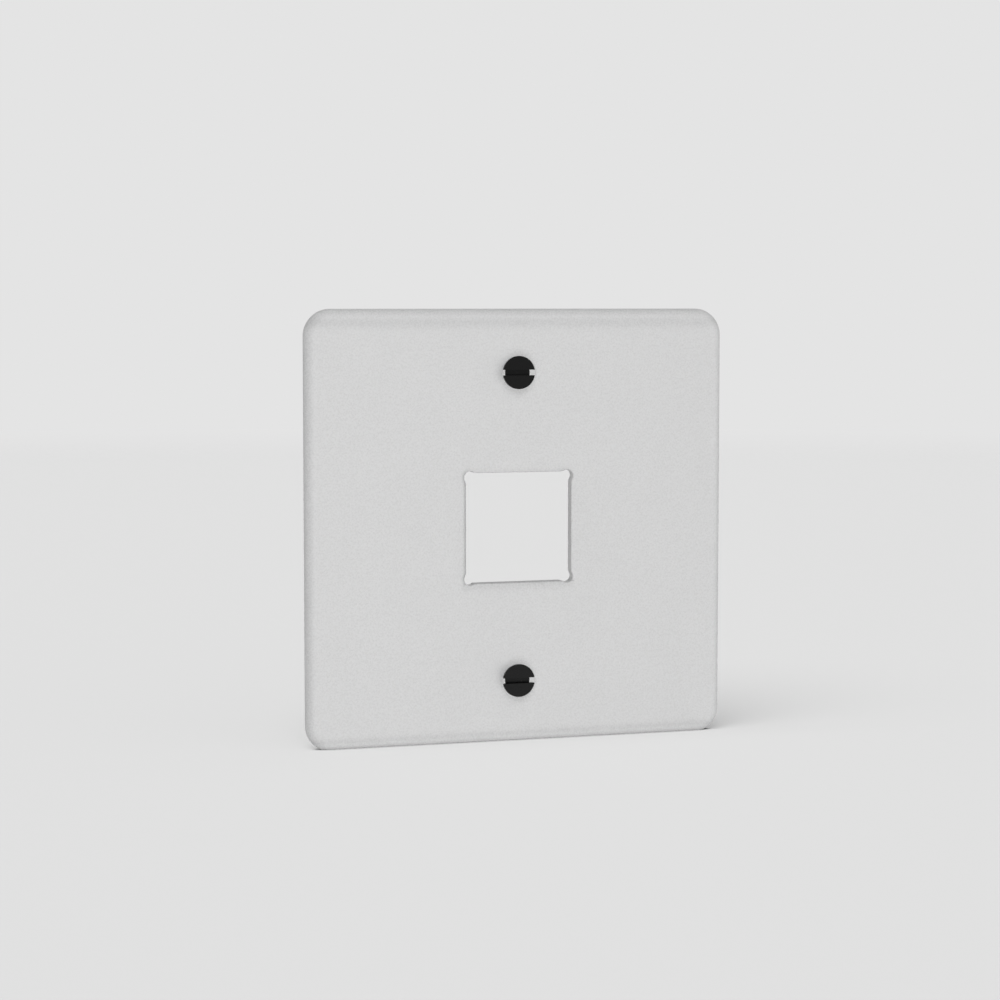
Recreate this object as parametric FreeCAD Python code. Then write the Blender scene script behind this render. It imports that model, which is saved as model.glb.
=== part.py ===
"""Keystone faceplate: one frosted clear plastic plate and its two slotted fixing screws.

Millimetres. The origin is the centre of the plate's flat back, which lies on the wall.
+Z is up, +X is to the right of someone facing the plate, and the front faces -Y.
"""
import FreeCAD, Part
import math
import os

Vector = FreeCAD.Vector

# ---- plate -------------------------------------------------------------------------------
PLATE_WIDTH = 85.0             # X, a single-gang plate
PLATE_HEIGHT = 85.0            # Z
PLATE_THICKNESS = 2.0          # Y
PLATE_CORNER_RADIUS = 5.25     # outline corners, seen from the front
EDGE_LAND = 0.1                # straight side wall left behind the rounded front edge

# ---- opening for the keystone module -------------------------------------------------------
OPENING_WIDTH = 21.5           # X
OPENING_HEIGHT = 21.5          # Z
RELIEF_RADIUS = 1.2            # corner relief, a circle through the opening's sharp corner
RELIEF_BLEND_RADIUS = 1.2      # eases the relief into the straight side
OPENING_EDGE_RADIUS = 0.2      # soft front rim of the opening

# ---- fixing screws ---------------------------------------------------------------------------
FIXING_PITCH = 60.3            # centre to centre of the wall box's two threaded lugs
HEAD_DIAMETER = 6.55
HEAD_LAND = 0.5                # cylindrical band above the cone
HEAD_PROUD = 0.1               # how far the head's face stands out of the plate
HEAD_EDGE_BREAK = 0.06         # chamfer round the head's face
CONE_ANGLE = 90.0              # full angle of the countersunk cone
SHANK_DIAMETER = 3.5           # outside of the M3.5 thread
SCREW_LENGTH = 8.0             # from the head's face to the tip
TIP_CHAMFER = 0.5
SLOT_WIDTH = 1.1
SLOT_DEPTH = 1.2

# ---- clearances --------------------------------------------------------------------------------
SHANK_CLEARANCE = 0.2          # round the shank, on the radius
HEAD_CLEARANCE = 0.1           # round the head's band, on the radius
SEAT_CLEARANCE = 0.02          # between the two cones, along the screw
CUTTER_OVERRUN = 1.0           # how far a cutting tool runs past the face that it opens

# ---- sizes that follow ---------------------------------------------------------------------------
FRONT_Y = -PLATE_THICKNESS
BACK_Y = 0.0
FRONT_EDGE_RADIUS = PLATE_THICKNESS - EDGE_LAND
HEAD_FACE_Y = FRONT_Y - HEAD_PROUD
CONE_TOP_Y = HEAD_FACE_Y + HEAD_LAND
CONE_SLOPE = math.tan(math.radians(CONE_ANGLE / 2.0))   # radius lost for each mm of depth
SCREW_HEIGHTS = {"upper_screw": FIXING_PITCH / 2.0, "lower_screw": -FIXING_PITCH / 2.0}


def extrude_back(wire, start_y, end_y):
    """Solid between two planes square to Y, from a closed wire drawn on the plane y = 0."""
    face = Part.Face(wire)
    face.translate(Vector(0, start_y, 0))
    return face.extrude(Vector(0, end_y - start_y, 0))


def turn(profile):
    """Solid of revolution about the Y axis, from a closed list of (radius, y) points."""
    points = [Vector(radius, y, 0) for radius, y in profile]
    wire = Part.makePolygon(points + points[:1])
    return Part.Face(wire).revolve(Vector(0, 0, 0), Vector(0, 1, 0), 360)


def arc(start, middle, end):
    """Circular edge through three (x, z) points on the plane y = 0."""
    return Part.Arc(*(Vector(x, 0, z) for x, z in (start, middle, end))).toShape()


def line(start, end):
    """Straight edge between two (x, z) points on the plane y = 0."""
    return Part.makeLine(*(Vector(x, 0, z) for x, z in (start, end)))


def closed_wire(edges):
    """One wire out of edges in any order."""
    return Part.Wire(Part.__sortEdges__(edges))


def point_on_arc(centre, radius, toward):
    """Point at a radius from a centre, on the side of another point."""
    dx, dz = toward[0] - centre[0], toward[1] - centre[1]
    reach = math.hypot(dx, dz)
    return (centre[0] + radius * dx / reach, centre[1] + radius * dz / reach)


def four_corners():
    """Signs of x and z for each corner of a rectangle."""
    return [(1, 1), (-1, 1), (-1, -1), (1, -1)]


def four_sides(half_width, half_height, corner_reach):
    """Straight sides of a rectangle whose corners each take up corner_reach of both sides."""
    x_end, z_end = half_width - corner_reach, half_height - corner_reach
    level = [line((-x_end, z), (x_end, z)) for z in (half_height, -half_height)]
    upright = [line((x, -z_end), (x, z_end)) for x in (half_width, -half_width)]
    return level + upright


def rounded_rectangle(width, height, radius):
    """Outline with a quarter circle at each corner."""
    half_width, half_height = width / 2.0, height / 2.0
    edges = four_sides(half_width, half_height, radius)
    for sx, sz in four_corners():
        centre = (sx * (half_width - radius), sz * (half_height - radius))
        on_side = (sx * half_width, centre[1])
        on_level = (centre[0], sz * half_height)
        corner = (sx * half_width, sz * half_height)
        edges.append(arc(on_side, point_on_arc(centre, radius, corner), on_level))
    return closed_wire(edges)


def relieved_rectangle(width, height, relief, blend):
    """Outline whose corners bulge into round reliefs, as a cutter leaves them.

    The relief circle passes through the sharp corner with its centre on the diagonal, so it
    stands out past both sides. An outward arc of the blend radius, tangent to the side and
    to the relief, joins the two.
    """
    half_width, half_height = width / 2.0, height / 2.0
    inset = relief / math.sqrt(2.0)
    reach = inset + math.sqrt((relief + blend) ** 2 - (inset + blend) ** 2)
    edges = four_sides(half_width, half_height, reach)
    for sx, sz in four_corners():
        corner = (sx * half_width, sz * half_height)
        centre = (sx * (half_width - inset), sz * (half_height - inset))
        on_level = (sx * (half_width - reach), corner[1])
        on_side = (corner[0], sz * (half_height - reach))
        level_blend = (on_level[0], on_level[1] + sz * blend)
        side_blend = (on_side[0] + sx * blend, on_side[1])
        level_join = point_on_arc(centre, relief, level_blend)
        side_join = point_on_arc(centre, relief, side_blend)
        for start, blend_centre, join in ((on_level, level_blend, level_join),
                                          (on_side, side_blend, side_join)):
            halfway = ((start[0] + join[0]) / 2.0, (start[1] + join[1]) / 2.0)
            edges.append(arc(start, point_on_arc(blend_centre, blend, halfway), join))
        edges.append(arc(level_join, corner, side_join))
    return closed_wire(edges)


def front_edges(solid, half_width, half_height):
    """Edges that lie in the front face, inside a rectangle about the centre."""
    def is_inside(edge):
        box = edge.BoundBox
        in_face = abs(box.YMin - FRONT_Y) < 1e-4 and abs(box.YMax - FRONT_Y) < 1e-4
        reach_x = max(abs(box.XMin), abs(box.XMax))
        reach_z = max(abs(box.ZMin), abs(box.ZMax))
        return in_face and reach_x < half_width and reach_z < half_height
    return [edge for edge in solid.Edges if is_inside(edge)]


def make_plate_blank():
    """Rounded square sheet, its whole front edge rounded over to a narrow land at the back."""
    outline = rounded_rectangle(PLATE_WIDTH, PLATE_HEIGHT, PLATE_CORNER_RADIUS)
    blank = extrude_back(outline, FRONT_Y, BACK_Y)
    rim = front_edges(blank, PLATE_WIDTH, PLATE_HEIGHT)
    return blank.makeFillet(FRONT_EDGE_RADIUS, rim)


def cut_opening(plate):
    """Square through opening with relieved corners and a softened front rim."""
    outline = relieved_rectangle(OPENING_WIDTH, OPENING_HEIGHT, RELIEF_RADIUS,
                                 RELIEF_BLEND_RADIUS)
    cutter = extrude_back(outline, FRONT_Y - CUTTER_OVERRUN, BACK_Y + CUTTER_OVERRUN)
    opened = plate.cut(cutter)
    rim = front_edges(opened, OPENING_WIDTH / 2.0 + RELIEF_RADIUS,
                      OPENING_HEIGHT / 2.0 + RELIEF_RADIUS)
    return opened.makeFillet(OPENING_EDGE_RADIUS, rim)


def make_seat_cutter():
    """Cutter for one screw's seat: a short bore for the band, the cone and the through hole."""
    band_radius = HEAD_DIAMETER / 2.0 + HEAD_CLEARANCE
    hole_radius = SHANK_DIAMETER / 2.0 + SHANK_CLEARANCE
    cone_start = CONE_TOP_Y + SEAT_CLEARANCE - HEAD_CLEARANCE / CONE_SLOPE
    cone_end = cone_start + (band_radius - hole_radius) / CONE_SLOPE
    start = FRONT_Y - CUTTER_OVERRUN
    end = BACK_Y + max(CUTTER_OVERRUN, cone_end)
    return turn([(0, start), (band_radius, start), (band_radius, cone_start),
                 (hole_radius, cone_end), (hole_radius, end), (0, end)])


def make_faceplate():
    """The one-piece plate, with its opening and two countersunk screw holes."""
    plate = cut_opening(make_plate_blank())
    for height in SCREW_HEIGHTS.values():
        plate = plate.cut(make_seat_cutter().translated(Vector(0, 0, height)))
    return plate


def make_screw():
    """Countersunk screw about the Y axis: flat slotted head, cone, and the thread's outside."""
    head_radius = HEAD_DIAMETER / 2.0
    shank_radius = SHANK_DIAMETER / 2.0
    cone_end_y = CONE_TOP_Y + (head_radius - shank_radius) / CONE_SLOPE
    tip_y = HEAD_FACE_Y + SCREW_LENGTH
    blank = turn([(0, HEAD_FACE_Y),
                  (head_radius - HEAD_EDGE_BREAK, HEAD_FACE_Y),
                  (head_radius, HEAD_FACE_Y + HEAD_EDGE_BREAK),
                  (head_radius, CONE_TOP_Y),
                  (shank_radius, cone_end_y),
                  (shank_radius, tip_y - TIP_CHAMFER),
                  (shank_radius - TIP_CHAMFER, tip_y),
                  (0, tip_y)])
    slot_length = HEAD_DIAMETER + 2.0 * CUTTER_OVERRUN
    slot = Part.makeBox(slot_length, CUTTER_OVERRUN + SLOT_DEPTH, SLOT_WIDTH,
                        Vector(-slot_length / 2.0, HEAD_FACE_Y - CUTTER_OVERRUN,
                               -SLOT_WIDTH / 2.0))
    return blank.cut(slot)


def make_nodes():
    """Every node's solid, by name."""
    nodes = {"faceplate": make_faceplate()}
    for name, height in SCREW_HEIGHTS.items():
        nodes[name] = make_screw().translated(Vector(0, 0, height))
    return nodes


def main():
    """Build each node, confirm that it is one valid solid, and write its STEP file."""
    os.makedirs("parts", exist_ok=True)
    for name, shape in make_nodes().items():
        solid = shape.Solids[0]
        print(name, "valid", shape.isValid(), "solids", len(shape.Solids),
              "volume", round(shape.Volume, 2))
        solid.exportStep("parts/" + name + ".step")


main()
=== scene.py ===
"""Looks of the keystone faceplate: a frosted clear plate held by two black slotted screws.

Metres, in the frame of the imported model: the plate's flat back lies on the plane y = 0, its
front faces -Y, +Z is up and +X is to the right of someone facing the plate.
"""
import logging
import math
from dataclasses import dataclass
from enum import Enum

import bpy
import numpy as np
from bpy.types import ID, Material, Mesh, Node, NodeTree, Object
from bpy.types import NodeSocket as Socket
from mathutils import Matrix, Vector
from mathutils.geometry import tessellate_polygon


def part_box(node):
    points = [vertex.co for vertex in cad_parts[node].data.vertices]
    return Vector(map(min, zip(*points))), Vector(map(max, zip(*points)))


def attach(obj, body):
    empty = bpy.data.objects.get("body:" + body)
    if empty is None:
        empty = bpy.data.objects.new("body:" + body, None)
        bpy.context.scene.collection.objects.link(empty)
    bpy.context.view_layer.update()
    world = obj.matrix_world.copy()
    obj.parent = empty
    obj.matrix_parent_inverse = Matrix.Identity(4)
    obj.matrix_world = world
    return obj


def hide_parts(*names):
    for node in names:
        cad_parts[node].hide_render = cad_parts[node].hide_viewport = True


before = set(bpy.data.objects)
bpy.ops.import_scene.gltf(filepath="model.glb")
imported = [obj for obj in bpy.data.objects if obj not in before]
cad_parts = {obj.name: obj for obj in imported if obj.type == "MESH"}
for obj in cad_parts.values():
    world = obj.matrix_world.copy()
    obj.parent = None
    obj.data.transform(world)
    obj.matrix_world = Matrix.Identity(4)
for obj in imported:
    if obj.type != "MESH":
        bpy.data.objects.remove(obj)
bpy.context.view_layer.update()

LOG = logging.getLogger("keystone_faceplate")
MM = 0.001
BODY = "root"
QUARTER_TURN = math.pi / 2
FULL_TURN = 2 * math.pi
WELD = 1e-7                      # points nearer than this are one
SHARP_ANGLE = math.radians(32)   # a sharper bend between two faces keeps its edge
FINE_DETAIL = 2.0                # extra octaves of the fine noise
BROAD_DETAIL = 3.0               # and of the broad noise
NOISE_ROUGHNESS = 0.55           # how much of each octave passes to the next

Array = np.ndarray
Stops = tuple[tuple[float, float], ...]
Span = tuple[float, float]
Color = tuple[float, float, float]
Stretch = tuple[Array, Array]


class Side(Enum):
    """Which flat face of the plate a fill closes, as the sign of its outward normal along Y."""

    FRONT = -1
    BACK = 1


# ---- outlines


@dataclass(frozen=True)
class Outline:
    """A closed path on the XZ plane, anticlockwise seen from the front.

    Args:
        points: (n, 2) array of x and z.
        normals: (n, 2) array of unit normals that point away from the enclosed area.
    """

    points: Array
    normals: Array


def arc_points(centre: Span, radius: float, start: float, end: float, steps: int,
               bulge: int) -> Stretch:
    """Points and normals on a circle between two angles.

    A point is centre + radius * (cos a, sin a), with a in equal steps from start to end. The
    normal is the same unit direction, turned round where the arc is hollow.

    Args:
        centre: x and z of the circle's centre.
        radius: circle's radius.
        start: first angle, in radians from +X towards +Z.
        end: last angle.
        steps: stretches that the arc is cut into.
        bulge: 1 where the enclosed area is on the centre's side, -1 where it is outside.

    Returns:
        Points and normals, each (steps + 1, 2).
    """
    angle = np.linspace(start, end, steps + 1)
    direction = np.stack([np.cos(angle), np.sin(angle)], axis=1)
    return np.array(centre) + radius * direction, bulge * direction


def mirrored_corners(quarter: list[Stretch]) -> Outline:
    """Outline from the stretches of its +X +Z corner, which run anticlockwise.

    The corner is reflected into the other three, and every second copy is run backwards so
    that the whole path keeps one direction. A point that repeats the one before is dropped.

    Args:
        quarter: points and normals of each stretch of that corner.

    Returns:
        The closed outline.
    """
    corner = np.concatenate([np.stack(stretch) for stretch in quarter], axis=1)
    copies = [(corner * (sx, sz))[:, ::sx * sz]
              for sx, sz in ((1, 1), (-1, 1), (-1, -1), (1, -1))]
    points, normals = np.concatenate(copies, axis=1)
    keep = np.linalg.norm(points - np.roll(points, 1, axis=0), axis=1) > WELD
    return Outline(points[keep], normals[keep])


def rounded_square(half: Span, radius: float, steps: int) -> Outline:
    """Rectangle of half sizes x and z with a quarter circle at each corner."""
    centre = (half[0] - radius, half[1] - radius)
    return mirrored_corners([arc_points(centre, radius, 0.0, QUARTER_TURN, steps, 1)])


def relieved_square(half: Span, relief: float, blend: float, steps: int) -> Outline:
    """Rectangle whose corners bulge out into round cutter reliefs.

    The relief circle passes through the sharp corner, with its centre on the diagonal. A
    blend circle outside the opening touches both the straight side and the relief circle:
    its centre is blend away from the side, and relief + blend away from the relief's centre.

    Args:
        half: half width along X and half height along Z.
        relief: radius of the relief circle.
        blend: radius of the blend circle.
        steps: stretches in each blend. A relief turns further, and has three times as many.

    Returns:
        The closed outline.
    """
    inset = relief / math.sqrt(2.0)
    run = math.sqrt((relief + blend) ** 2 - (inset + blend) ** 2)
    lean = math.atan2(inset + blend, run)
    centre = (half[0] - inset, half[1] - inset)
    low_blend = (half[0] + blend, centre[1] - run)
    high_blend = (centre[0] - run, half[1] + blend)
    relief_start = math.atan2(-run, inset + blend)
    relief_end = QUARTER_TURN - relief_start
    return mirrored_corners([
        arc_points(low_blend, blend, math.pi, QUARTER_TURN + lean, steps, -1),
        arc_points(centre, relief, relief_start, relief_end, 3 * steps, 1),
        arc_points(high_blend, blend, -lean, -QUARTER_TURN, steps, -1),
    ])


def circle(centre: Span, radius: float, steps: int) -> Outline:
    """Full circle round a centre."""
    points, normals = arc_points(centre, radius, 0.0, FULL_TURN, steps, 1)
    return Outline(points[:-1], normals[:-1])


# ---- surfaces


class Surface:
    """Collects grids and fills of vertices and makes one welded, closed mesh of them."""

    def __init__(self) -> None:
        """Start with nothing in the mesh."""
        self.vertices: list[Array] = []
        self.faces: list[Array] = []
        self.smooth: list[bool] = []
        self.count = 0

    def add(self, vertices: Array, faces: Array, smooth: bool) -> None:
        """Add vertices and the faces between them.

        Args:
            vertices: (n, 3) array.
            faces: (m, 3 or 4) array, numbered from this call's first vertex.
            smooth: shade the faces as one curved surface.
        """
        self.vertices.append(vertices)
        self.faces.append(faces + self.count)
        self.smooth.append(smooth)
        self.count += len(vertices)

    def add_grid(self, grid: Array, closed: bool, flip: bool = False) -> None:
        """Add a grid of points as quads that are shaded as one curved surface.

        Args:
            grid: (rows, columns, 3) array.
            closed: whether the last column joins the first.
            flip: turn the faces over.
        """
        index = np.arange(grid[..., 0].size).reshape(grid.shape[:2])
        ahead = np.roll(index, -1, axis=1)
        last = None if closed else -1
        quads = np.stack([index[:-1, :last], ahead[:-1, :last],
                          ahead[1:, :last], index[1:, :last]], axis=-1).reshape(-1, 4)
        self.add(grid.reshape(-1, 3), quads[:, ::-1] if flip else quads, True)

    def add_fill(self, loops: list[Array], y: float, side: Side) -> None:
        """Close the flat area between an outer loop and its holes, on a plane square to Y.

        Args:
            loops: (n, 2) arrays of x and z: the outer loop first, then the holes.
            y: the plane's place.
            side: which way the face looks.
        """
        rings = [np.pad(loop, ((0, 0), (0, 1))) for loop in loops]
        triangles = np.array(tessellate_polygon(rings))
        flat = np.concatenate(loops)
        corner = flat[triangles[:, 0]]
        first, second = (flat[triangles[:, k]] - corner for k in (1, 2))
        turn = first[:, 0] * second[:, 1] - first[:, 1] * second[:, 0]
        wrong = turn * side.value > 0
        triangles[wrong] = triangles[wrong][:, ::-1]
        self.add(np.insert(flat, 1, y, axis=1), triangles, False)

    def mesh(self, name: str) -> Mesh:
        """The collected faces as one mesh, with points closer than WELD made one.

        A quad that welding leaves with three corners becomes a triangle, and a face that it
        leaves with fewer is dropped.

        Args:
            name: the mesh's name.

        Returns:
            The mesh, with its sharp edges marked.
        """
        vertices = np.concatenate(self.vertices)
        key = np.round(vertices / WELD).astype(np.int64)
        _, first, place = np.unique(key, axis=0, return_index=True, return_inverse=True)
        place = place.reshape(-1)
        faces: list[list[int]] = []
        smooth: list[bool] = []
        for group, is_smooth in zip(self.faces, self.smooth):
            ring = place[group]
            repeats = ring == np.roll(ring, -1, axis=1)
            whole = ring[~repeats.any(axis=1)]
            halved = (repeats.sum(axis=1) == 1) & (ring.shape[1] == 4)
            cut = ring[halved][~repeats[halved]].reshape(-1, 3)
            faces += whole.tolist() + cut.tolist()
            smooth += [is_smooth] * (len(whole) + len(cut))
        mesh = bpy.data.meshes.new(name)
        mesh.from_pydata(vertices[first], [], faces)
        mesh.polygons.foreach_set("use_smooth", smooth)
        mesh.set_sharp_from_angle(angle=SHARP_ANGLE)
        mesh.update()
        return mesh


def swept(outline: Outline, profile: Array) -> Array:
    """Grid that carries a profile round an outline.

    Row i, column j lies at outline point j pushed out along its normal by the profile's
    grow i, at the profile's y i.

    Args:
        outline: the closed path.
        profile: (n, 2) array of grow and y.

    Returns:
        (profile points, outline points, 3) array.
    """
    ring = outline.points + profile[:, 0, None, None] * outline.normals
    y = profile[:, 1, None]
    return np.stack(np.broadcast_arrays(ring[..., 0], y, ring[..., 1]), axis=-1)


def quarter_round(radius: float, front: float, back: float, steps: int) -> Array:
    """Profile of a quarter circle from a front plane onto an outline, and on to a back plane.

    With angle a from 0 to a quarter turn, grow is radius * (sin a - 1) and y is
    front + |radius| * (1 - cos a).

    Args:
        radius: radius of the round, negative for the rim of an opening.
        front: y of the front plane.
        back: y at which the straight wall behind the round ends.
        steps: stretches that the round is cut into.

    Returns:
        (steps + 2, 2) array of grow and y.
    """
    angle = np.linspace(0.0, QUARTER_TURN, steps + 1)
    grow = radius * np.sin(angle) - radius
    depth = front + abs(radius) * (1 - np.cos(angle))
    return np.vstack([np.stack([grow, depth], axis=1), [0.0, back]])


# ---- the plate


@dataclass
class Faceplate:
    """The one-piece plate: rounded edge, relieved square opening and two screw seats.

    Args:
        low: lowest corner of the plate's box.
        high: highest corner.
        screw_heights: z of each screw.
        corner_radius: outline corners.
        edge_land: straight side left behind the rounded front edge.
        opening: width and height of the opening.
        relief_radius: corner reliefs of the opening.
        blend_radius: arcs that ease the reliefs into the sides.
        rim_radius: softened front rim of the opening.
        seat_radius: short bore round each screw head.
        seat_depth: depth of that bore.
        hole_radius: through hole under the seat's cone.
        corner_steps: stretches round an outline corner.
        edge_steps: stretches across the rounded front edge.
        relief_steps: stretches in a blend beside a relief.
        rim_steps: stretches across the opening's rim.
        seat_steps: stretches round a seat.
    """

    low: Vector
    high: Vector
    screw_heights: tuple[float, ...]
    corner_radius: float = 5.25 * MM
    edge_land: float = 0.1 * MM
    opening: Span = (21.5 * MM, 21.5 * MM)
    relief_radius: float = 1.2 * MM
    blend_radius: float = 1.2 * MM
    rim_radius: float = 0.2 * MM
    seat_radius: float = 3.375 * MM
    seat_depth: float = 0.32 * MM
    hole_radius: float = 1.95 * MM
    corner_steps: int = 32
    edge_steps: int = 24
    relief_steps: int = 8
    rim_steps: int = 8
    seat_steps: int = 96

    def outer_edge(self) -> Array:
        """Grid of the rounded front edge and the narrow land behind it.

        Returns:
            (rows, columns, 3) array.
        """
        outline = rounded_square((self.high.x, self.high.z), self.corner_radius,
                                 self.corner_steps)
        radius = self.high.y - self.low.y - self.edge_land
        return swept(outline, quarter_round(radius, self.low.y, self.high.y, self.edge_steps))

    def opening_wall(self) -> Array:
        """Grid of the opening's soft rim and straight wall, from front to back.

        Returns:
            (rows, columns, 3) array.
        """
        half = (self.opening[0] / 2, self.opening[1] / 2)
        outline = relieved_square(half, self.relief_radius, self.blend_radius,
                                  self.relief_steps)
        rim = quarter_round(-self.rim_radius, self.low.y, self.high.y, self.rim_steps)
        return swept(outline, rim)

    def screw_seat(self, height: float) -> Array:
        """Grid of one seat: short bore, cone at 45 degrees and through hole.

        Args:
            height: z of the seat's axis.

        Returns:
            (4, seat_steps, 3) array.
        """
        outline = circle((0.0, height), self.seat_radius, self.seat_steps)
        cone = self.hole_radius - self.seat_radius
        bore_end = self.low.y + self.seat_depth
        return swept(outline, np.array([(0.0, self.low.y), (0.0, bore_end),
                                        (cone, bore_end - cone), (cone, self.high.y)]))

    def build(self) -> Mesh:
        """The whole plate as one closed mesh.

        Returns:
            The mesh, in place.
        """
        surface = Surface()
        outer = self.outer_edge()
        holes = [self.opening_wall()] + [self.screw_seat(z) for z in self.screw_heights]
        surface.add_grid(outer, closed=True, flip=True)
        for hole in holes:
            surface.add_grid(hole, closed=True)
        for row, y, side in ((0, self.low.y, Side.FRONT), (-1, self.high.y, Side.BACK)):
            loops = [grid[row][:, [0, 2]] for grid in [outer] + holes]
            surface.add_fill(loops, y, side)
        return surface.mesh("frosted_faceplate")


# ---- the screws


@dataclass
class FixingScrew:
    """Countersunk M3.5 screw with a slotted flat head and a rolled thread.

    Args:
        low: lowest corner of the screw's box.
        high: highest corner.
        land: cylindrical band above the cone.
        edge_break: chamfer round the head's face.
        shank_radius: outside of the thread.
        slot_width: width of the driver slot.
        slot_depth: depth of the driver slot.
        tip_chamfer: bevel at the tip.
        pitch: thread pitch.
        thread_depth: from crest to root, before the root is rounded.
        groove_peak: height of the groove's V over its root, whose top is cut off at 1.
        groove_slope: how fast the V falls with the phase.
        root_start: groove share past which the root is rounded.
        root_ease: groove share that the rounding takes away at most.
        fade_in: turns in which the thread grows out of the cone.
        fade_out: turns in which it ends at the tip.
        turn_rows: rows of vertices in each turn.
        face_rows: rows in each half of the head's face.
        slot_rows: rows down a wall of the slot, and across its floor.
        chord_points: vertices in a row across the head's face.
        side_rows: rows in the band, and in the cone.
    """

    low: Vector
    high: Vector
    land: float = 0.5 * MM
    edge_break: float = 0.06 * MM
    shank_radius: float = 1.75 * MM
    slot_width: float = 1.1 * MM
    slot_depth: float = 1.2 * MM
    tip_chamfer: float = 0.5 * MM
    pitch: float = 0.6 * MM
    thread_depth: float = 0.36 * MM
    groove_peak: float = 1.12
    groove_slope: float = 2.4
    root_start: float = 0.8
    root_ease: float = 0.12
    fade_in: float = 0.8
    fade_out: float = 0.5
    turn_rows: int = 14
    face_rows: int = 20
    slot_rows: int = 7
    chord_points: int = 41
    side_rows: int = 12

    @property
    def height(self) -> float:
        """Z of the screw's axis."""
        return (self.low.z + self.high.z) / 2

    @property
    def head_radius(self) -> float:
        """Radius of the head's band."""
        return (self.high.x - self.low.x) / 2

    @property
    def cone_end(self) -> float:
        """Depth below the head's face at which the cone reaches the shank."""
        return self.land + self.head_radius - self.shank_radius

    def radius_at(self, depth: Array) -> Array:
        """Radius of the unslotted head: edge break, band, then a cone at 45 degrees.

        Args:
            depth: depths below the head's face.

        Returns:
            The radius at each.
        """
        broken = self.head_radius - np.clip(self.edge_break - depth, 0.0, None)
        cone = self.head_radius - np.clip(depth - self.land, 0.0, None)
        return np.minimum(broken, cone)

    def top_rows(self) -> tuple[Array, Array]:
        """Rows across the head's top, from below the slot to above it.

        They cross the lower part of the face, go down the slot's wall, along its floor, up
        the other wall and across the upper part.

        Returns:
            z and depth of each row.
        """
        half = self.slot_width / 2
        edge = self.head_radius - self.edge_break
        bend = np.linspace(0.0, QUARTER_TURN, self.face_rows)
        face_z = half + (edge - half) * np.sin(bend)
        wall = np.linspace(0.0, self.slot_depth, self.slot_rows)[1:-1]
        floor_z = np.linspace(-half, half, self.slot_rows)
        runs = [(-face_z[::-1], 0.0), (-half, wall), (floor_z, self.slot_depth),
                (half, wall[::-1]), (face_z, 0.0)]
        pairs = [np.broadcast_arrays(*run) for run in runs]
        return tuple(np.concatenate(part) for part in zip(*pairs))

    def head_top(self) -> Array:
        """Grid of the head's face with its slot.

        Row by row at height z, x runs from -X to +X, where X is the half chord of the head's
        circle at that row's depth: X = sqrt(radius(depth)^2 - z^2).

        Returns:
            (rows, chord_points, 3) array of x, depth and z.
        """
        z, depth = self.top_rows()
        half_chord = np.sqrt(np.clip(self.radius_at(depth) ** 2 - z ** 2, 0.0, None))
        across = np.linspace(-1.0, 1.0, self.chord_points)
        x = half_chord[:, None] * across
        return np.stack(np.broadcast_arrays(x, depth[:, None], z[:, None]), axis=-1)

    def head_side(self, rim: Array) -> Array:
        """Grid of the head's band and cone, down from the +X half of the top's boundary.

        A column leaves the rim at its own depth. The slot's wall meets the head's side at the
        angle asin(half slot / radius). Above the slot's floor a column's angle is that wall
        angle plus a share of the rest of the quarter turn. The share goes linearly with depth
        from its value on the rim to one in even steps at the cone's end, so that no two
        columns cross. Columns that leave the slot's floor keep their angle.

        Args:
            rim: (n, 3) boundary points: x, depth and z, from the lowest z to the highest.

        Returns:
            (rows, n, 3) array of x, depth and z.
        """
        start = rim[None, :, 1]
        angle = np.arctan2(rim[:, 2], rim[:, 0])[None]
        even = np.linspace(0.0, 1.0, self.side_rows + 1)[1:]
        runs = [np.linspace(0.0, self.edge_break, 3),
                self.edge_break + (self.land - self.edge_break) * even,
                self.land + (self.cone_end - self.land) * even]
        depth = np.maximum(np.concatenate(runs)[:, None], start)
        half = self.slot_width / 2
        wall = np.arcsin(half / self.radius_at(np.minimum(depth, self.slot_depth)))
        top_wall = np.arcsin(half / self.radius_at(np.zeros(1)))
        on_floor = start >= self.slot_depth - WELD
        opened = (np.abs(angle) - top_wall) / (QUARTER_TURN - top_wall)
        rim_share = np.where(start > 0, 0.0, opened)
        above = np.cumsum(~on_floor & (angle > 0), axis=1)
        below = np.cumsum((~on_floor & (angle < 0))[:, ::-1], axis=1)[:, ::-1]
        order = np.maximum(above, below)
        end_share = order / order.max()
        fall = np.clip((depth - start) / (self.cone_end - start), 0.0, 1.0)
        share = rim_share + (end_share - rim_share) * fall
        bent = np.sign(angle) * (wall + (QUARTER_TURN - wall) * np.clip(share, 0.0, 1.0))
        turned = np.where(on_floor, angle, bent)
        radius = self.radius_at(depth)
        return np.stack([radius * np.cos(turned), depth, radius * np.sin(turned)], axis=-1)

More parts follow.
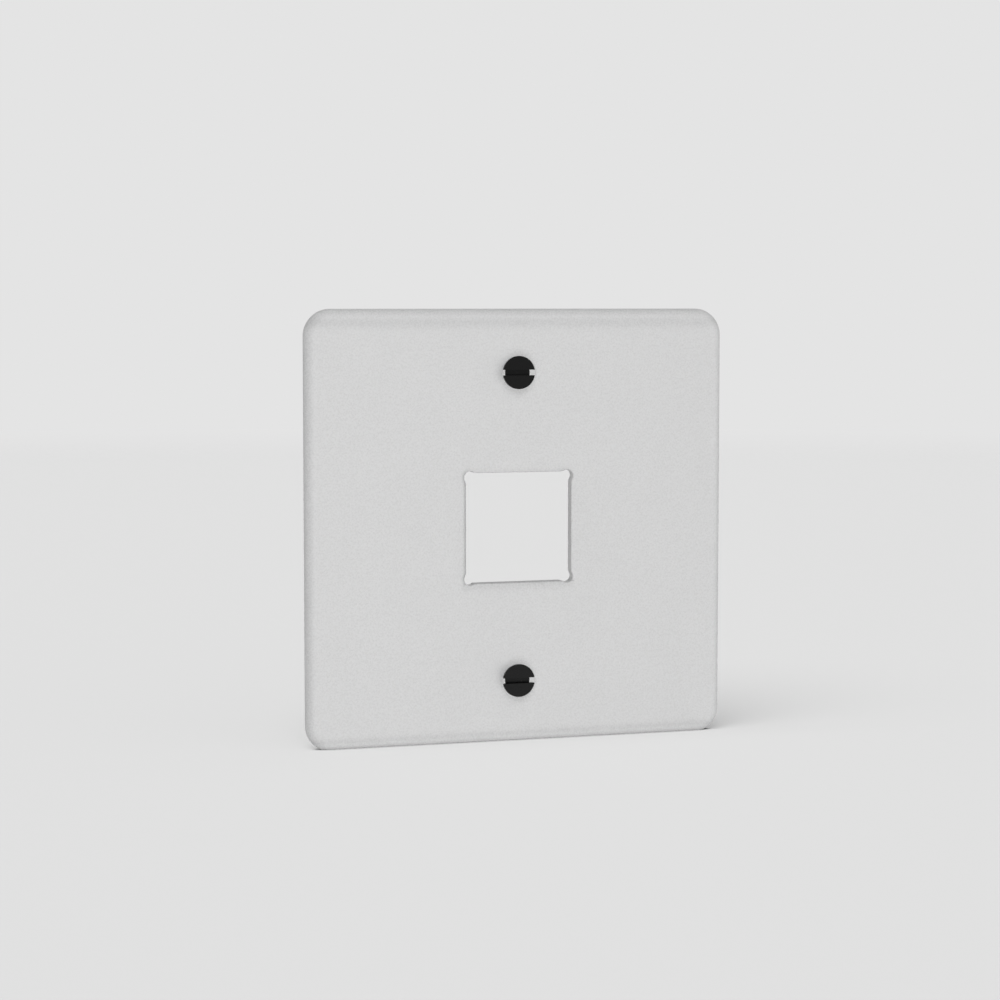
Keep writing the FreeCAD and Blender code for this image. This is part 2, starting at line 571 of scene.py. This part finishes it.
    def shank(self, angle: Array) -> Array:
        """Grid of the threaded shank, its chamfered tip and the flat end.

        The radius is the thread's outside less a groove. The groove follows the helix: its
        phase is depth / pitch + angle / one turn, and its share is the V
        groove_peak - groove_slope * |phase - 1/2|, kept between 0, the crest, and 1, the
        root. It fades in below the cone and out towards the tip, and the chamfer limits the
        radius.

        Args:
            angle: (n,) angles of the columns round the axis.

        Returns:
            (rows, n, 3) array of x, depth and z.
        """
        length = self.high.y - self.low.y
        turns = round((length - self.cone_end) / self.pitch)
        rows = np.linspace(self.cone_end, length, 1 + self.turn_rows * turns)
        depth, turn = np.meshgrid(rows, angle, indexing="ij")
        phase = (depth / self.pitch + turn / FULL_TURN) % 1.0
        slope = np.clip(self.groove_peak - self.groove_slope * np.abs(phase - 0.5), 0.0, 1.0)
        root = np.clip(slope - self.root_start, 0.0, None) / (1.0 - self.root_start)
        groove = slope - self.root_ease * root
        rising = np.clip((depth - self.cone_end) / (self.fade_in * self.pitch), 0.0, 1.0)
        falling = np.clip((length - depth) / (self.fade_out * self.pitch), 0.0, 1.0)
        cut = self.thread_depth * groove * rising * falling
        chamfer = self.shank_radius - np.clip(depth - (length - self.tip_chamfer), 0.0, None)
        radius = np.minimum(self.shank_radius - cut, chamfer)
        side = np.stack([radius * np.cos(turn), depth, radius * np.sin(turn)], axis=-1)
        end = [side[-1:] * (share, 1.0, share) for share in (0.5, 0.0)]
        return np.concatenate([side, *end])

    def build(self, name: str) -> Mesh:
        """The whole screw as one closed mesh.

        Args:
            name: the mesh's name.

        Returns:
            The mesh, in place.
        """
        top = self.head_top()
        side = self.head_side(top[:, -1])
        mirrored = side * (-1.0, 1.0, 1.0)
        last = side[-1]
        right = np.arctan2(last[:, 2], last[:, 0])
        ring = np.concatenate([right, (math.pi - right)[::-1][1:-1]])
        surface = Surface()
        place = (0.0, self.low.y, self.height)
        surface.add_grid(top + place, closed=False)
        surface.add_grid(side + place, closed=False, flip=True)
        surface.add_grid(mirrored + place, closed=False)
        surface.add_grid(self.shank(ring) + place, closed=True, flip=True)
        return surface.mesh(name)


# ---- finishes


class Mix(Enum):
    """What a Mix node mixes, as Blender's name for it."""

    SHADERS = "SHADER"
    COLORS = "RGBA"
    NUMBERS = "FLOAT"


class Nodes:
    """Short calls that add shader nodes to one tree and join them."""

    def __init__(self, tree: NodeTree) -> None:
        """Work on this tree."""
        self.tree = tree

    def put(self, value: object, slot: Socket) -> None:
        """Set an input, or link it where the value is another node's output.

        Args:
            value: a socket, a number or a color with its alpha.
            slot: the input.
        """
        if isinstance(value, Socket):
            self.tree.links.new(value, slot)
        else:
            slot.default_value = value

    def feed(self, node: Node, **values: object) -> Node:
        """Set a node's attributes and inputs by name.

        Args:
            node: the node.
            values: attributes, or inputs with underscores for the spaces in their names.

        Returns:
            The same node.
        """
        for name, value in values.items():
            slot = node.inputs.get(name.replace("_", " "))
            if slot is None:
                setattr(node, name, value)
            else:
                self.put(value, slot)
        return node

    def add(self, kind: str, **values: object) -> Node:
        """A new shader node of a kind, with attributes and inputs set by name."""
        return self.feed(self.tree.nodes.new("ShaderNode" + kind), **values)

    def fill(self, node: Node, *values: object) -> Socket:
        """Set a node's inputs in order, and give its output.

        Args:
            node: the node.
            values: one for each input that is in use.

        Returns:
            The node's first output that is in use.
        """
        for slot, value in zip([slot for slot in node.inputs if slot.enabled], values):
            self.put(value, slot)
        return next(slot for slot in node.outputs if slot.enabled)

    def math(self, operation: str, *terms: object) -> Socket:
        """Output of a Math node whose inputs are sockets or numbers."""
        return self.fill(self.add("Math", operation=operation), *terms)

    def parts(self, vector: Socket) -> list[Socket]:
        """The x, y and z of a vector."""
        return list(self.add("SeparateXYZ", Vector=vector).outputs)

    def length(self, first: Socket, second: Socket) -> Socket:
        """Output of sqrt(first^2 + second^2)."""
        squares = [self.math("MULTIPLY", side, side) for side in (first, second)]
        return self.math("SQRT", self.math("ADD", *squares))

    def mix(self, kind: Mix, share: object, first: object, second: object) -> Socket:
        """Output that goes from the first of two things to the second.

        Args:
            kind: what is mixed.
            share: the second one's share.
            first: the first one.
            second: the second one.

        Returns:
            The output.
        """
        if kind is Mix.SHADERS:
            return self.fill(self.add("MixShader"), share, first, second)
        return self.fill(self.add("Mix", data_type=kind.value), share, first, second)

    def spread(self, value: Socket, reach: Span = (0.0, 1.0), low: float = 0.0,
               high: float = 1.0) -> Socket:
        """Output that eases from low to high while a value crosses the reach.

        Args:
            value: the value.
            reach: the value's start and end.
            low: output at the reach's start and before it.
            high: output at its end and beyond.

        Returns:
            The output.
        """
        node = self.add("MapRange", interpolation_type="SMOOTHSTEP", Value=value,
                        From_Min=reach[0], From_Max=reach[1], To_Min=low, To_Max=high)
        return node.outputs["Result"]

    def ramp(self, value: Socket, stops: Stops) -> Socket:
        """Output of a grey Color Ramp.

        Args:
            value: the ramp's input, from 0 to 1.
            stops: (place, grey) pairs in order, with straight runs between them.

        Returns:
            The output.
        """
        node = self.add("ValToRGB", Fac=value)
        elements = node.color_ramp.elements
        for _ in stops[2:]:
            elements.new(0.5)
        for element, (place, grey) in zip(elements, stops):
            element.position = place
            element.color = (grey, grey, grey, 1.0)
        return node.outputs["Color"]


def grain_group() -> NodeTree:
    """Node group of a fine surface grain, shared by the plastic and the screws.

    Its inputs are sizes in metres. Height is the fine noise, Cloud is the broad noise, and
    Speck is 1 on rare small dots: the points of a cell pattern that lie nearer than the
    speck's radius to their cell's middle.

    Returns:
        The group.
    """
    tree = bpy.data.node_groups.new("surface_grain", "ShaderNodeTree")
    for name, default in (("Fine Size", 0.2 * MM), ("Broad Size", 6.0 * MM),
                          ("Speck Spacing", 8.0 * MM), ("Speck Radius", 0.1 * MM)):
        socket = tree.interface.new_socket(name, in_out="INPUT", socket_type="NodeSocketFloat")
        socket.default_value = default
    for name in ("Height", "Cloud", "Speck"):
        tree.interface.new_socket(name, in_out="OUTPUT", socket_type="NodeSocketFloat")
    nodes = Nodes(tree)
    given = tree.nodes.new("NodeGroupInput").outputs
    results = tree.nodes.new("NodeGroupOutput").inputs
    place = nodes.add("TexCoord").outputs["Object"]
    for result, size, detail in (("Height", "Fine Size", FINE_DETAIL),
                                 ("Cloud", "Broad Size", BROAD_DETAIL)):
        noise = nodes.add("TexNoise", Detail=detail, Roughness=NOISE_ROUGHNESS,
                          Vector=place, Scale=nodes.math("DIVIDE", 1.0, given[size]))
        nodes.put(noise.outputs["Fac"], results[result])
    cells = nodes.add("TexVoronoi", Vector=place,
                      Scale=nodes.math("DIVIDE", 1.0, given["Speck Spacing"]))
    reach = nodes.math("DIVIDE", given["Speck Radius"], given["Speck Spacing"])
    nodes.put(nodes.math("LESS_THAN", cells.outputs["Distance"], reach), results["Speck"])
    return tree


@dataclass(frozen=True, kw_only=True)
class GrainedFinish:
    """What both finishes share: a fine relief, and a roughness that changes slowly.

    Args:
        name: the material's name.
        ior: index of refraction.
        roughness: how far the surface spreads light.
        roughness_swing: slow change of the roughness over the piece.
        grain_size: width of the grain.
        grain_height: depth of the grain.
        cloud_size: width of the slow changes.
    """

    name: str
    ior: float
    roughness: float
    roughness_swing: float
    grain_size: float
    grain_height: float
    cloud_size: float

    def dress(self, nodes: Nodes, shader: Node, texture: Node) -> None:
        """Add what is a finish's own to its shader."""
        raise NotImplementedError

    def material(self, grain: NodeTree) -> Material:
        """Build the material round the shared grain group.

        Args:
            grain: the group.

        Returns:
            The material.
        """
        material = bpy.data.materials.new(self.name)
        material.use_nodes = True
        nodes = Nodes(material.node_tree)
        texture = nodes.add("Group", node_tree=grain, Fine_Size=self.grain_size,
                            Broad_Size=self.cloud_size)
        rough = nodes.spread(texture.outputs["Cloud"],
                             low=self.roughness - self.roughness_swing,
                             high=self.roughness + self.roughness_swing)
        bump = nodes.add("Bump", Strength=1.0, Distance=self.grain_height,
                         Height=texture.outputs["Height"])
        shader = nodes.feed(material.node_tree.nodes["Principled BSDF"], IOR=self.ior,
                            Roughness=rough, Normal=bump.outputs["Normal"])
        self.dress(nodes, shader, texture)
        return material


@dataclass(frozen=True, kw_only=True)
class FrostedPlastic(GrainedFinish):
    """Clear plastic with a satin surface that blurs what is behind it.

    Args:
        seat_height: distance of each screw's axis from the plate's middle.
        painted_tilt_shades: painted shade on the rounded edges and walls: share of the light
        kept where the surface leans away from the plate's plane, as (lean, share) pairs:
        lean is 0 on the faces and 1 on a straight wall.
        painted_band_shades: painted shade along the plate's top and foot, for the light that
        the rounded edge bends away, as (height in millimetres, share) pairs.
        painted_sill_shades: the same painted shade for the lower edge of the opening and just
            under it.
        sill_reach: distances from the middle between which that painted shade ends.
        painted_seat_shade: share kept beside a screw: painted shade round its black head.
        seat_stretch: how much sooner that painted shade ends beside the screw than above it.
        seat_middle: x and z of that painted shade's middle, from the screw's axis.
        seat_reach: radii between which that painted shade fades out.
        seat_clear: share kept by the walls of a screw's seat, spared the painted shades.
        seat_radius: radii between which that share ends.
        painted_light_gain: painted light: how much lighter the plastic is in a broad patch
            beside each screw.
        painted_light_middle: x and z of that painted patch's middle, from the screw's axis.
        painted_light_reach: radii between which the painted patch fades out.
        transmission: share of the light that passes into the plastic.
        grain_shade: how much of the light the grain takes.
        painted_glint: painted glints: light that rare small dots add.
    """

    seat_height: float
    name: str = "frosted_clear_plastic"
    ior: float = 1.49
    roughness: float = 0.58
    roughness_swing: float = 0.01
    grain_size: float = 0.3 * MM
    grain_height: float = 0.004 * MM
    cloud_size: float = 9.0 * MM
    # painted shade: the base colour darkens where the surface leans, for the dark rims
    painted_tilt_shades: Stops = (
        (0.0, 0.935), (0.03, 0.88), (0.06, 0.84), (0.12, 0.785), (0.2, 0.74), (0.35, 0.675),
        (0.5, 0.64), (0.85, 0.59), (1.0, 0.5))
    # painted shade in dim bands under the top edge and above the foot
    painted_band_shades: Stops = (
        (-42.0, 1.0), (-41.1, 1.0), (-40.7, 0.9), (-40.3, 0.9), (-39.7, 1.0), (38.3, 1.0),
        (39.2, 0.93), (39.8, 0.89), (40.4, 0.92), (41.0, 1.0))
    # painted shade: a dark line on the opening's lower rim and a dim band below it
    painted_sill_shades: Stops = (
        (-13.0, 1.0), (-12.4, 0.985), (-11.9, 0.93), (-11.0, 0.9), (-10.9, 0.66), (-10.7, 0.66),
        (-10.6, 1.0))
    sill_reach: Span = (10.4 * MM, 11.6 * MM)
    # painted shade: a dark halo round each screw head
    painted_seat_shade: float = 0.68
    seat_stretch: float = 1.26
    seat_middle: Span = (0.02 * MM, -0.09 * MM)
    seat_reach: Span = (2.62 * MM, 5.35 * MM)
    seat_clear: float = 0.95
    seat_radius: Span = (3.39 * MM, 3.42 * MM)
    # painted light: a lighter patch beside each screw
    painted_light_gain: float = 1.06
    painted_light_middle: Span = (-2.1 * MM, 0.95 * MM)
    painted_light_reach: Span = (0.0, 7.0 * MM)
    transmission: float = 1.0
    grain_shade: float = 0.38
    # painted glints on rare small dots
    painted_glint: float = 0.06

    def by_height(self, nodes: Nodes, height: Socket, shades: Stops) -> Socket:
        """Share that follows the height, with straight runs between the given pairs.

        Args:
            nodes: the material's nodes.
            height: height of the point, in metres.
            shades: (height in millimetres, share) pairs in order.

        Returns:
            Its socket.
        """
        low, high = shades[0][0], shades[-1][0]
        place = nodes.add("MapRange", Value=height, From_Min=low * MM,
                          From_Max=high * MM)
        stops = tuple(((rise - low) / (high - low), share) for rise, share in shades)
        return nodes.ramp(place.outputs["Result"], stops)

    def painted_light_and_grain(self, nodes: Nodes, texture: Node) -> Socket:
        """Base colour: painted shade, painted light and grain, point by point.

        It is shade(lean) * band(z) * sill(z) * seat * light, or the seat's own share inside
        it, + grain_shade * (grain - 1/2) + painted_glint * glints. Shade, band, sill and seat
        are painted shade, light is a painted light patch and glints are painted glints. Sill
        counts only below the opening. Lean is 1 - |y of the surface's direction|. Seat and
        light follow distances from points near the screw's axis, and the seat's is stretched
        along X.

        Args:
            nodes: the material's nodes.
            texture: the grain group's node.

        Returns:
            Its socket.
        """
        place = nodes.add("TexCoord").outputs
        x, _, z = nodes.parts(place["Object"])
        facing = nodes.math("ABSOLUTE", nodes.parts(place["Normal"])[1])
        # painted shade on the rims and walls, by how far the surface leans
        shade = nodes.ramp(nodes.math("SUBTRACT", 1.0, facing), self.painted_tilt_shades)
        # painted shade bands along the top and the foot
        band = self.by_height(nodes, z, self.painted_band_shades)
        # painted shade under the opening, only between its sides
        beside = nodes.spread(nodes.math("ABSOLUTE", x), self.sill_reach)
        sill = nodes.math("MAXIMUM", self.by_height(nodes, z, self.painted_sill_shades), beside)
        axis = nodes.math("MULTIPLY", nodes.math("SIGN", z), self.seat_height)
        rise = nodes.math("SUBTRACT", z, axis)

        def away(middle: Span, stretch: float = 1.0) -> Socket:
            """Distance from a point near the screw's axis.

            Args:
                middle: x and z of that point, from the axis.
                stretch: how much more a step along X counts.

            Returns:
                Its socket.
            """
            aside = nodes.math("SUBTRACT", x, middle[0])
            above = nodes.math("SUBTRACT", rise, middle[1])
            return nodes.length(nodes.math("MULTIPLY", aside, stretch), above)

        # painted shade round each screw head
        seat = nodes.spread(away(self.seat_middle, self.seat_stretch), self.seat_reach,
                            self.painted_seat_shade)
        # painted light in a broad patch beside each screw
        painted_light = nodes.spread(away(self.painted_light_middle), self.painted_light_reach, self.painted_light_gain)
        for factor in (band, sill, seat, painted_light):
            shade = nodes.math("MULTIPLY", shade, factor)
        # the seat's walls keep their own share, free of the painted shades
        inside = nodes.spread(away((0.0, 0.0)), self.seat_radius, self.seat_clear, 0.0)
        shade = nodes.math("MAXIMUM", shade, inside)
        grain = nodes.spread(texture.outputs["Height"], low=-self.grain_shade / 2,
                             high=self.grain_shade / 2)
        # painted glints on rare small dots
        painted_glints = nodes.math("MULTIPLY", texture.outputs["Speck"], self.painted_glint)
        return nodes.math("ADD", shade, nodes.math("ADD", grain, painted_glints))

    def dress(self, nodes: Nodes, shader: Node, texture: Node) -> None:
        """Let light through, tinted by the base colour's painted shade, painted light and
        grain.
        """
        nodes.feed(shader, distribution="GGX", Transmission_Weight=self.transmission,
                   Base_Color=self.painted_light_and_grain(nodes, texture))


@dataclass(frozen=True, kw_only=True)
class BlackCoating(GrainedFinish):
    """Smooth black coating on the head of a zinc-plated steel screw, whose shank is bare.

    Args:
        axis_height: distance of each screw's axis from the plate's middle.
        color: the coating's grey.
        zinc: color of the bare shank.
        root: painted shade in the thread's roots, darker than the zinc.
        coating_end: places along Y between which the coating gives way to the zinc.
        crest_reach: radii between which the painted shade of the roots gives way to the zinc.
        tip_reach: places along Y past which the tip has none of that painted shade.
    """

    axis_height: float
    name: str = "black_coated_steel"
    ior: float = 1.35
    roughness: float = 0.28
    roughness_swing: float = 0.04
    grain_size: float = 0.12 * MM
    grain_height: float = 0.002 * MM
    cloud_size: float = 1.5 * MM
    color: Color = (0.001, 0.001, 0.001)
    zinc: Color = (0.7, 0.71, 0.73)
    # painted shade: the thread's roots are darker than the zinc
    root: Color = (0.16, 0.16, 0.165)
    coating_end: Span = (-0.25 * MM, -0.05 * MM)
    crest_reach: Span = (1.42 * MM, 1.68 * MM)
    tip_reach: Span = (5.3 * MM, 5.5 * MM)

    def dress(self, nodes: Nodes, shader: Node, texture: Node) -> None:
        """Color the coating and the bare metal below it, with painted shade in the thread's
        roots.

        Args:
            nodes: the material's nodes.
            shader: its main shader.
            texture: the grain group's node.
        """
        x, y, z = nodes.parts(nodes.add("TexCoord").outputs["Object"])
        bare = nodes.spread(y, self.coating_end)
        rise = nodes.math("SUBTRACT", nodes.math("ABSOLUTE", z), self.axis_height)
        # painted shade in the thread's roots; the crests and the tip keep the zinc
        crest = nodes.spread(nodes.length(x, rise), self.crest_reach)
        bright = nodes.math("MAXIMUM", crest, nodes.spread(y, self.tip_reach))
        metal = nodes.mix(Mix.COLORS, bright, (*self.root, 1.0), (*self.zinc, 1.0))
        color = nodes.mix(Mix.COLORS, bare, (*self.color, 1.0), metal)
        nodes.feed(shader, Base_Color=color, Metallic=bare)


# ---- the studio


def linked(name: str, data: ID) -> Object:
    """A new object at the origin, linked to the scene.

    Args:
        name: its name.
        data: its mesh, light or camera.

    Returns:
        The object.
    """
    thing = bpy.data.objects.new(name, data)
    bpy.context.scene.collection.objects.link(thing)
    return thing


@dataclass(frozen=True)
class SoftLight:
    """One broad distant lamp.

    Args:
        name: the lamp's name.
        strength: its strength.
        angle: how wide it looks.
        turn: its direction about Z, from the front towards +X.
        rise: its height above the horizon.
    """

    name: str
    strength: float
    angle: float
    turn: float
    rise: float


@dataclass
class Studio:
    """Pale round floor that melts into an even backdrop, soft light and the camera.

    Args:
        floor_z: height of the plate's lowest line.
        floor_radius: radius of the floor.
        floor_rings: radii of its rings of vertices, as shares of that radius.
        floor_steps: vertices in a ring.
        melt: radii between which the floor turns into the backdrop.
        sink: how far the plate's rounded foot sinks into the floor.
        floor_color: grey of the floor's matt share.
        floor_roughness: roughness of that share.
        floor_glow: even brightness of the rest of it.
        lamp_share: share of the floor that is matt, and so lit by the lamps.
        mirror_glow: the floor's brightness in what the object mirrors and lets through.
        contact_reach: how far the dark line under the foot can spread.
        contact_open: open share of the sky where that line is darkest, and where it ends.
        backdrop: brightness of the backdrop.
        sky_front: brightness of the soft light from the front.
        sky_back: the same from behind.
        sky_top: the same from above.
        sky_turn: direction's y between which the front's light turns into the back's.
        sky_rise: direction's z between which both turn into the light from above.
        lamps: the lamps that throw the plate's shadow on the floor.
        camera_place: camera position.
        camera_turn: camera's aim about Z towards +X, and below the horizon.
        lens: focal length in millimetres.
        sensor: width of the camera's sensor in millimetres.
        clip: nearest and farthest distance that the camera sees.
    """

    floor_z: float
    floor_radius: float = 1.6
    floor_rings: tuple[float, ...] = (0.0, 0.25, 0.5, 1.0)
    floor_steps: int = 96
    melt: Span = (0.9, 1.25)
    sink: float = 0.62 * MM
    floor_color: float = 0.9
    floor_roughness: float = 0.9
    floor_glow: float = 0.387
    lamp_share: float = 0.08
    mirror_glow: float = 0.86
    contact_reach: float = 4.0 * MM
    contact_open: Span = (0.25, 0.7)
    backdrop: float = 0.776
    sky_front: float = 0.3
    sky_back: float = 0.86
    sky_top: float = 0.68
    sky_turn: Span = (-0.6, 0.8)
    sky_rise: Span = (0.3, 0.95)
    lamps: tuple[SoftLight, ...] = (
        SoftLight("key_light", 16.0, math.radians(50), math.radians(-52), math.radians(60)),
        SoftLight("fill_light", 4.1, math.radians(100), math.radians(22), math.radians(54)))
    camera_place: tuple[float, float, float] = (-150.57 * MM, -470.23 * MM, 43.58 * MM)
    camera_turn: Span = (math.radians(17.393), math.radians(4.446))
    lens: float = 91.14
    sensor: float = 36.0
    clip: Span = (0.01, 100.0)

    def floor(self) -> None:
        """Add the floor, a flat disc.

        Its points are (r cos a, r sin a) at the floor's height, on rings of radius r, with a
        in equal steps round each.
        """
        ring = np.array(self.floor_rings)[:, None] * self.floor_radius
        turn = np.linspace(0.0, FULL_TURN, self.floor_steps + 1)[:-1]
        grid = np.stack(np.broadcast_arrays(ring * np.cos(turn), ring * np.sin(turn),
                                            self.floor_z + self.sink), axis=-1)
        surface = Surface()
        surface.add_grid(grid, closed=True, flip=True)
        disc = linked("floor", surface.mesh("floor"))
        disc.data.materials.append(self.floor_material())

    def floor_material(self) -> Material:
        """Matt grey that melts into the backdrop, and an even glow for all but the camera.

        Returns:
            The material.
        """
        material = bpy.data.materials.new("pale_floor")
        material.use_nodes = True
        nodes = Nodes(material.node_tree)
        matt = nodes.feed(material.node_tree.nodes["Principled BSDF"],
                          Base_Color=(*([self.floor_color] * 3), 1.0),
                          Roughness=self.floor_roughness, Specular_IOR_Level=0.0)
        contact = nodes.add("AmbientOcclusion", Distance=self.contact_reach)
        open_share = nodes.spread(contact.outputs["AO"], self.contact_open)

        def glowing(strength: float) -> Socket:
            """Even light that is darker close under the foot."""
            level = nodes.math("MULTIPLY", open_share, strength)
            return nodes.add("Emission", Strength=level).outputs[0]

        reach = nodes.add("VectorMath", operation="LENGTH",
                          Vector=nodes.add("TexCoord").outputs["Object"])
        fade = nodes.spread(reach.outputs["Value"], self.melt)
        far = nodes.add("Emission", Strength=self.backdrop).outputs[0]
        near = nodes.mix(Mix.SHADERS, self.lamp_share, glowing(self.floor_glow),
                         matt.outputs["BSDF"])
        seen = nodes.mix(Mix.SHADERS, fade, near, far)
        is_camera = nodes.add("LightPath").outputs["Is Camera Ray"]
        whole = nodes.mix(Mix.SHADERS, is_camera, glowing(self.mirror_glow), seen)
        nodes.feed(material.node_tree.nodes["Material Output"], Surface=whole)
        return material

    def world(self) -> None:
        """Add soft light, brightest behind the plate, and an even backdrop for the camera.

        Matt surfaces don't get this light, so that only the lamps light the floor.
        """
        world = bpy.data.worlds.new("soft_studio")
        bpy.context.scene.world = world
        world.use_nodes = True
        world.cycles_visibility.diffuse = False
        nodes = Nodes(world.node_tree)
        _, y, z = nodes.parts(nodes.add("TexCoord").outputs["Generated"])
        level = nodes.spread(y, self.sky_turn, self.sky_front, self.sky_back)
        sky = nodes.mix(Mix.NUMBERS, nodes.spread(z, self.sky_rise), level, self.sky_top)
        is_camera = nodes.add("LightPath").outputs["Is Camera Ray"]
        shown = nodes.mix(Mix.NUMBERS, is_camera, sky, self.backdrop)
        nodes.feed(world.node_tree.nodes["Background"], Color=(1.0, 1.0, 1.0, 1.0),
                   Strength=shown)

    def light(self, lamp: SoftLight) -> None:
        """Add one lamp.

        It lights matt surfaces only, so that the plate keeps its even look.

        Args:
            lamp: its place and strength.
        """
        light = linked(lamp.name, bpy.data.lights.new(lamp.name, "SUN"))
        light.data.energy = lamp.strength
        light.data.angle = lamp.angle
        light.visible_glossy = light.visible_transmission = False
        toward = Vector((math.sin(lamp.turn) * math.cos(lamp.rise),
                         -math.cos(lamp.turn) * math.cos(lamp.rise), math.sin(lamp.rise)))
        light.rotation_euler = toward.to_track_quat("Z", "Y").to_euler()

    def camera(self) -> None:
        """Add the camera, at the left of the plate and a little above its middle."""
        turn, down = self.camera_turn
        camera = linked("camera", bpy.data.cameras.new("camera"))
        camera.data.lens = self.lens
        camera.data.sensor_width = self.sensor
        camera.data.clip_start, camera.data.clip_end = self.clip
        camera.location = self.camera_place
        camera.rotation_euler = (QUARTER_TURN - down, 0.0, -turn)
        bpy.context.scene.camera = camera

    def build(self) -> None:
        """Everything round the object."""
        self.floor()
        self.world()
        for lamp in self.lamps:
            self.light(lamp)
        self.camera()
        bpy.context.scene.view_settings.view_transform = "Standard"


# ---- the whole


def make_object(name: str, mesh: Mesh, material: Material, node: str) -> None:
    """Link a piece at the origin, dress it, and let it stand for its CAD node.

    Args:
        name: the piece's name.
        mesh: its mesh, in place.
        material: its finish.
        node: the CAD node that it replaces.
    """
    piece = linked(name, mesh)
    mesh.materials.append(material)
    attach(piece, BODY)
    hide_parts(node)
    LOG.info("%s: %d faces, stands for %s", name, len(mesh.polygons), node)


def main() -> None:
    """Build the plate, the two screws and the studio."""
    logging.basicConfig(level=logging.INFO)
    grain = grain_group()
    screws = {name: FixingScrew(*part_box(name)) for name in ("upper_screw", "lower_screw")}
    heights = tuple(screw.height for screw in screws.values())
    coating = BlackCoating(axis_height=max(heights)).material(grain)
    plate = Faceplate(*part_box("faceplate"), screw_heights=heights)
    plastic = FrostedPlastic(seat_height=max(heights)).material(grain)
    make_object("frosted_faceplate", plate.build(), plastic, "faceplate")
    for name, screw in screws.items():
        make_object("threaded_" + name, screw.build(name), coating, name)
    Studio(floor_z=plate.low.z).build()


if __name__ == "__main__":
    main()
